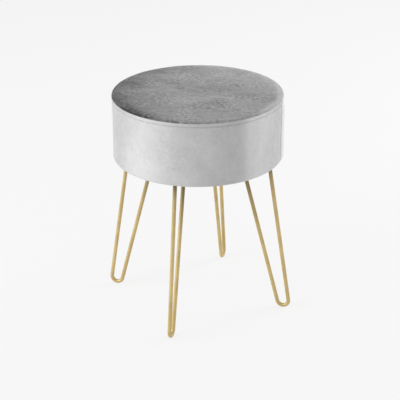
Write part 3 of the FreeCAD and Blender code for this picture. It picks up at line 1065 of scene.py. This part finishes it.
@dataclass
class Topstitch:
    """Lockstitches sunk in the groove below the top seam."""

    finish: Finish
    band: SideBand
    thread: float = 0.0006
    length: float = 0.0034
    dip: float = 0.0005
    proud_share: float = 0.4
    sides: int = 6
    cuts: int = 3

    def build(self) -> bpy.types.Object:
        """Make one stitch and repeat it round the seat.

        Returns:
            The thread, all stitches in one piece.
        """
        work = bmesh.new()
        turned = Matrix.Rotation(math.pi / 2, 4, "X")
        bmesh.ops.create_cone(
            work, cap_ends=True, segments=self.sides, radius1=self.thread / 2, radius2=self.thread / 2,
            depth=self.length, matrix=turned,
        )
        lengthwise = [
            edge for edge in work.edges if abs(edge.verts[0].co.y - edge.verts[1].co.y) > self.thread
        ]
        bmesh.ops.subdivide_edges(work, edges=lengthwise, cuts=self.cuts)
        for vert in work.verts:
            share = abs(vert.co.y) / (self.length / 2)
            vert.co.x -= self.dip * share**3
        seat = Vector((self.band.stitch_radius + self.thread * self.proud_share, 0, self.band.stitch_level))
        bmesh.ops.translate(work, vec=seat, verts=work.verts)
        count = self.band.stitches
        step = math.tau / count
        bmesh.ops.rotate(work, matrix=Matrix.Rotation(step / 2, 3, "Z"), verts=work.verts)
        stitch = work.verts[:] + work.edges[:] + work.faces[:]
        bmesh.ops.spin(
            work, geom=stitch, axis=(0, 0, 1), angle=math.tau - step, steps=count - 1, use_duplicate=True,
        )
        return make_piece("topstitch_thread", work, self.finish)


class Leg(Enum):
    """The legs, by the side that they stand on, with their azimuths."""

    FRONT = 0
    RIGHT = 90
    BACK = 180
    LEFT = 270

    @property
    def side(self) -> str:
        """The leg's side, as the frame's nodes name it."""
        return self.name.lower()


@dataclass
class DustCover:
    """Non-woven cloth under the base, hemmed, stapled, sagging a little between the legs."""

    finish: Finish
    radius: float
    level: float
    plates: list[tuple[Vector, Vector]]
    thickness: float = 0.0005
    hem: float = 0.012
    hem_step: float = 0.0004
    sag: float = 0.0018
    sag_start: float = 0.5
    sag_sway: float = 0.4
    sag_pace: float = 25.0
    hem_fold: float = 0.0015
    plate_margin: float = 0.03
    grid_share: float = 0.55
    segments: int = 144
    rings: int = 12

    def build(self) -> bpy.types.Object:
        """Make the cloth.

        Returns:
            The cloth.
        """
        work = bmesh.new()
        inner = self.radius * self.grid_share
        rim = lay_disc(work, inner, self.segments)
        for ring in range(1, self.rings + 1):
            rim = grow_rim(work, rim, inner + (self.radius - inner) * ring / self.rings)
        for vert in work.verts:
            vert.co.z = self.level + self.thickness - self.drop(vert.co)
        cloth = make_piece("dust_cover_cloth", work, self.finish, ["dust_cover"])
        thicken(cloth, self.thickness)
        return cloth

    def drop(self, place: Vector) -> float:
        """How far the cloth hangs below its seat.

        Args:
            place: A place on the flat cloth.

        Returns:
            The drop: none under the plates, the most in the middle.
        """
        free = min(self.from_plate(place, plate) for plate in self.plates) / self.plate_margin
        radius, hem_start = place.xy.length, self.radius - self.hem
        hung = 1 - fade(radius, self.radius * self.sag_start, hem_start)
        hem = self.hem_step * fade(radius, hem_start, hem_start + self.hem_fold)
        uneven = 1 + self.sag_sway * noise.noise(place * self.sag_pace)
        return fade(free, 0.0, 1.0) * (self.sag * hung * uneven + hem)

    @staticmethod
    def from_plate(place: Vector, plate: tuple[Vector, Vector]) -> float:
        """Distance from a leg plate's outline.

        Args:
            place: A place on the cloth.
            plate: Low and high corner of the plate.

        Returns:
            The distance, 0 under the plate.
        """
        low, high = plate
        gaps = [max(low[axis] - place[axis], 0.0, place[axis] - high[axis]) for axis in (0, 1)]
        return math.hypot(*gaps)


@dataclass
class Staples:
    """Staples that hold the dust cover to the board, between the legs."""

    finish: Finish
    cloth_radius: float
    cloth_level: float
    inset: float = 0.006
    proud: float = 0.0005
    crown: float = 0.010
    wire: float = 0.0009
    leg: float = 0.003
    bend: float = 0.0007
    count: int = 32
    clear_of_leg: float = 13.0
    askew: float = 14.0
    askew_pace: float = 40.0
    wire_sides: int = 4
    bend_steps: int = 4

    def build(self) -> bpy.types.Object:
        """Bend every staple and set it in its place.

        Returns:
            The staples, all in one piece.
        """
        work = bmesh.new()
        step = 360 / self.count
        for index in range(self.count):
            azimuth = index * step
            from_leg = min(abs((azimuth - leg.value + 180) % 360 - 180) for leg in Leg)
            if from_leg >= self.clear_of_leg:
                self.set_staple(work, azimuth)
        return make_piece("dust_cover_staples", work, self.finish)

    def set_staple(self, work: bmesh.types.BMesh, azimuth: float) -> None:
        """Bend one staple, askew by a little, with its crown under the cloth.

        Args:
            work: The staples' bmesh.
            azimuth: Where it goes.
        """
        half = self.crown / 2
        level = self.cloth_level - self.proud
        shank = Vector((0, 0, self.leg - self.bend))
        across = Vector((0, 1, 0))
        wire = BentWire(work, Vector((half, 0, level + self.leg)), self.wire / 2, self.wire_sides)
        wire.run(-shank)
        wire.turn(Vector((half - self.bend, 0, level + self.bend)), across, 90, self.bend_steps)
        wire.run(Vector((-self.crown + 2 * self.bend, 0, 0)))
        wire.turn(Vector((self.bend - half, 0, level + self.bend)), across, 90, self.bend_steps)
        wire.run(shank)
        askew = self.askew * noise.noise(bearing(azimuth) * self.askew_pace)
        turn = Matrix.Rotation(math.radians(azimuth + askew), 4, "Z")
        seat = Matrix.Translation(bearing(azimuth) * (self.cloth_radius - self.inset))
        bmesh.ops.transform(work, matrix=seat @ turn, verts=wire.verts)


class BentWire:
    """A wire bent from a flat section, by straight runs and round turns one after another."""

    def __init__(self, work: bmesh.types.BMesh, start: Vector, radius: float, sides: int) -> None:
        """Start the wire with a level section.

        Args:
            work: The bmesh that it is bent in.
            start: The middle of its first end.
            radius: The wire's radius.
            sides: Corners of its section.
        """
        self.work = work
        place = Matrix.Translation(start)
        made = bmesh.ops.create_circle(work, cap_ends=True, segments=sides, radius=radius, matrix=place)
        self.verts: list[bmesh.types.BMVert] = list(made["verts"])
        self.tip: list[bmesh.types.BMFace] = list(self.verts[0].link_faces)

    def run(self, way: Vector) -> None:
        """Lengthen the wire straight.

        Args:
            way: Length and direction.
        """
        grown = bmesh.ops.extrude_face_region(self.work, geom=self.section())["geom"]
        verts = [item for item in grown if isinstance(item, bmesh.types.BMVert)]
        bmesh.ops.translate(self.work, vec=way, verts=verts)
        self.verts += verts
        self.tip = [item for item in grown if isinstance(item, bmesh.types.BMFace)]

    def turn(self, centre: Vector, axis: Vector, angle: float, steps: int) -> None:
        """Bend the wire.

        Args:
            centre: Middle of the bend.
            axis: Axis of the bend.
            angle: Degrees that it turns by.
            steps: Sections along it.
        """
        before = set(self.work.verts)
        spun = bmesh.ops.spin(
            self.work, geom=self.section(), cent=centre, axis=axis, angle=math.radians(angle), steps=steps
        )
        self.verts += [vert for vert in self.work.verts if vert not in before]
        self.tip = [item for item in spun["geom_last"] if isinstance(item, bmesh.types.BMFace)]

    def section(self) -> list[Element]:
        """The tip's faces, edges and corners, which go once the wire grows on from them."""
        edges = [edge for face in self.tip for edge in face.edges]
        return [*self.tip, *edges, *(vert for face in self.tip for vert in face.verts)]


@dataclass
class FrameFinishes:
    """Finishes of the frame's own nodes: the legs, and what the cover hides."""

    rod_gold: Finish
    plate_gold: Finish
    zinc: Finish
    plywood: Finish
    foam: Finish
    edge_foam: Finish
    wadding: Finish

    def apply(self) -> None:
        """Dress every node that stays."""
        for leg in Leg:
            self.dress(f"leg_rod_{leg.side}", self.rod_gold)
            for piece in ("leg_plate", "leg_welds"):
                self.dress(f"{piece}_{leg.side}", self.plate_gold)
            self.dress(f"leg_bolts_{leg.side}", self.zinc)
        self.dress("insert_nuts", self.zinc)
        self.dress("base_board", self.plywood)
        self.dress("foam_core", self.foam)
        self.dress("edge_foam_strip", self.edge_foam)
        self.dress("wadding_pad", self.wadding)

    @staticmethod
    def dress(node: str, finish: Finish) -> None:
        """Give a node of the frame its finish.

        Args:
            node: The node's name.
            finish: What it is finished with.
        """
        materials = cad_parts[node].data.materials
        materials.clear()
        materials.append(finish.material())
        LOG.info("%s: %s", node, finish.name)


@dataclass(frozen=True)
class Softbox:
    """A wide soft lamp, aimed at the seat."""

    name: str
    azimuth: float
    elevation: float
    distance: float
    width: float
    height: float
    watts: float
    mirrored: bool = True

    def build(self, target: Vector) -> None:
        """Hang the lamp, and keep it out of the metal unless it is mirrored there.

        Args:
            target: What it is aimed at.
        """
        lamp = bpy.data.lights.new(self.name, "AREA")
        lamp.shape = "RECTANGLE"
        lamp.size = self.width
        lamp.size_y = self.height
        lamp.energy = self.watts
        stand = bpy.data.objects.new(self.name, lamp)
        stand.location = target + bearing(self.azimuth, self.elevation) * self.distance
        stand.rotation_euler = (target - stand.location).to_track_quat("-Z", "Y").to_euler()
        stand.visible_glossy = self.mirrored
        bpy.context.scene.collection.objects.link(stand)


@dataclass
class Studio:
    """Pale floor, soft lamps, plain surroundings and the camera."""

    backdrop: float = 0.922
    ambient: float = 0.62
    floor_radius: float = 12.0
    shadow_share: float = 0.12
    camera_azimuth: float = 17.25
    camera_reach: float = 2.0463
    camera_height: float = 1.1252
    aim_height: float = 0.1938
    aim_side: float = 0.0034
    camera_roll: float = -0.0041
    lens: float = 112.0
    seat_height: float = 0.34

    def build(self) -> None:
        """Set up everything round the stool."""
        self.lay_floor()
        self.light_world()
        target = Vector((0, 0, self.seat_height))
        Softbox(
            "left_softbox", azimuth=self.camera_azimuth - 73, elevation=18, distance=2.4,
            width=1.6, height=1.6, watts=44.0,
        ).build(target)
        Softbox(
            "right_softbox", azimuth=self.camera_azimuth + 117, elevation=20, distance=2.4,
            width=1.4, height=1.6, watts=40.0, mirrored=False,
        ).build(target)
        self.place_camera()
        bpy.context.scene.view_settings.view_transform = "Standard"

    def lay_floor(self) -> None:
        """Lay the floor that the stool stands on."""
        work = bmesh.new()
        bmesh.ops.create_circle(work, cap_ends=True, segments=64, radius=self.floor_radius)
        floor = make_object("studio_floor", work, FloorWhite("floor_white", self.backdrop, self.shadow_share))

    def light_world(self) -> None:
        """Light evenly from all sides; show the backdrop's white to the camera and in the metal."""
        world = bpy.data.worlds.new("studio_world")
        world.use_nodes = True
        tree = world.node_tree
        shown = tree.nodes.new("ShaderNodeLightPath").outputs
        seen = shown["Is Camera Ray"]
        for ray in ("Is Glossy Ray", "Is Transmission Ray"):
            either = tree.nodes.new("ShaderNodeMath")
            either.operation = "MAXIMUM"
            tree.links.new(seen, either.inputs[0])
            tree.links.new(shown[ray], either.inputs[1])
            seen = either.outputs[0]
        level = tree.nodes.new("ShaderNodeMapRange")
        level.inputs["To Min"].default_value = self.ambient
        level.inputs["To Max"].default_value = self.backdrop
        tree.links.new(seen, level.inputs["Value"])
        background = tree.nodes["Background"]
        background.inputs["Color"].default_value = (1.0, 1.0, 1.0, 1.0)
        tree.links.new(level.outputs["Result"], background.inputs["Strength"])
        bpy.context.scene.world = world

    def place_camera(self) -> None:
        """Stand the camera where the photograph was taken from."""
        lens = bpy.data.cameras.new("camera")
        lens.lens = self.lens
        camera = bpy.data.objects.new("camera", lens)
        stand = bearing(self.camera_azimuth) * self.camera_reach
        camera.location = stand + Vector((0, 0, self.camera_height))
        aim = bearing(self.camera_azimuth + 90) * self.aim_side + Vector((0, 0, self.aim_height))
        aimed = (aim - camera.location).to_track_quat("-Z", "Y")
        camera.rotation_euler = (aimed @ Quaternion((0, 0, 1), self.camera_roll)).to_euler()
        bpy.context.scene.collection.objects.link(camera)
        bpy.context.scene.camera = camera


def main() -> None:
    """Build the stool's looks and the studio round it."""
    logging.basicConfig(level=logging.INFO, format="%(name)s: %(message)s")
    panel_low, panel_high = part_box("seat_top_panel")
    band_low, band_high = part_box("seat_side_band")
    cloth_low, cloth_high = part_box("dust_cover")

    # The top is the band's velvet painted darker, as shade where it faces up. Its steps paint shade towards
    # the left and the front-left rim, a painted seam shadow along the front rim, light towards the back
    # right, and painted highlights on the right rims.
    shaded_top_velvet = Velvet(
        "shaded_top_velvet", grey(56), grey(134), grey(174), sheen=0.3, patch=0.26, streak=0.19, fleck=0.53,
        steps=(
            NapStep(azimuth=-73, start=0.045, end=0.149, shift=-0.265),
            NapStep(azimuth=-40, start=0.112, end=0.142, shift=-0.17),
            NapStep(azimuth=-15, start=0.128, end=0.149, shift=-0.12),
            NapStep(azimuth=35, start=0.134, end=0.148, shift=0.13),
            NapStep(azimuth=78, start=0.130, end=0.148, shift=0.42),
            NapStep(azimuth=150, start=0.060, end=0.149, shift=0.245),
            NapStep(azimuth=140, start=0.125, end=0.149, shift=0.245),
            NapStep(azimuth=105, start=0.130, end=0.149, shift=0.57),
            NapStep(azimuth=-118, start=0.060, end=0.149, shift=-0.16),
        ),
    )
    # The band's steps paint light and shade round the side, standing in for how the two softboxes and the
    # sheen fall on it; its seam highlight is painted rim light.
    band_velvet = Velvet(
        "band_velvet", grey(160), grey(186), grey(208), sheen=0.35, patch=0.24, streak=0.18, fleck=0.24,
        steps=(
            NapStep(azimuth=-73, start=0.030, end=0.088, shift=0.24),
            NapStep(azimuth=-73, start=0.090, end=0.140, shift=-0.5),
            NapStep(azimuth=138, start=-0.010, end=0.018, shift=0.45),
            NapStep(azimuth=138, start=0.030, end=0.090, shift=-0.6),
        ),
        laps=(NapLap(seam=SEAM_AZIMUTH, fall_start=12, fall_end=40, shift=0.95),),
    )
    TopPanel(shaded_top_velvet, panel_high.x, panel_low.z, panel_high.z).build()
    band = SideBand(band_velvet, panel_high.x, band_high.x, band_high.z, band_low.z)
    band.build()
    Topstitch(SewingThread("sewing_thread", grey(150), grey(118)), band).build()

    zinc = ZincSteel("bright_zinc")
    plates = [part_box(f"leg_plate_{leg.side}") for leg in Leg]
    DustCover(NonWoven("black_spunbond"), cloth_high.x, cloth_low.z, plates).build()
    Staples(zinc, cloth_high.x, cloth_low.z).build()

    # The rods darken to a painted shadow under the seat; the plates, just under it, get a lighter painted
    # shade.
    rod_gold = SatinGold(
        "rod_gold", shade(187, 165, 110), shade(206, 183, 129), dulled=shade(88, 70, 40),
        weld_level=plates[0][0].z, outer_reach=0.016, inner_reach=0.055,
        outer_radius=0.128, inner_radius=0.092,
    )
    FrameFinishes(
        rod_gold=rod_gold,
        plate_gold=replace(rod_gold, name="plate_gold", dulled=shade(158, 136, 88)),
        zinc=zinc,
        plywood=Plywood("birch_plywood"),
        foam=Foam("seat_foam", 0.0011, shade(198, 182, 140), shade(232, 220, 184)),
        edge_foam=Foam("edge_foam", 0.0009, shade(150, 154, 160), shade(196, 200, 206)),
        wadding=Foam("white_wadding", 0.003, grey(214), grey(240)),
    ).apply()

    Studio().build()


if __name__ == "__main__":
    main()
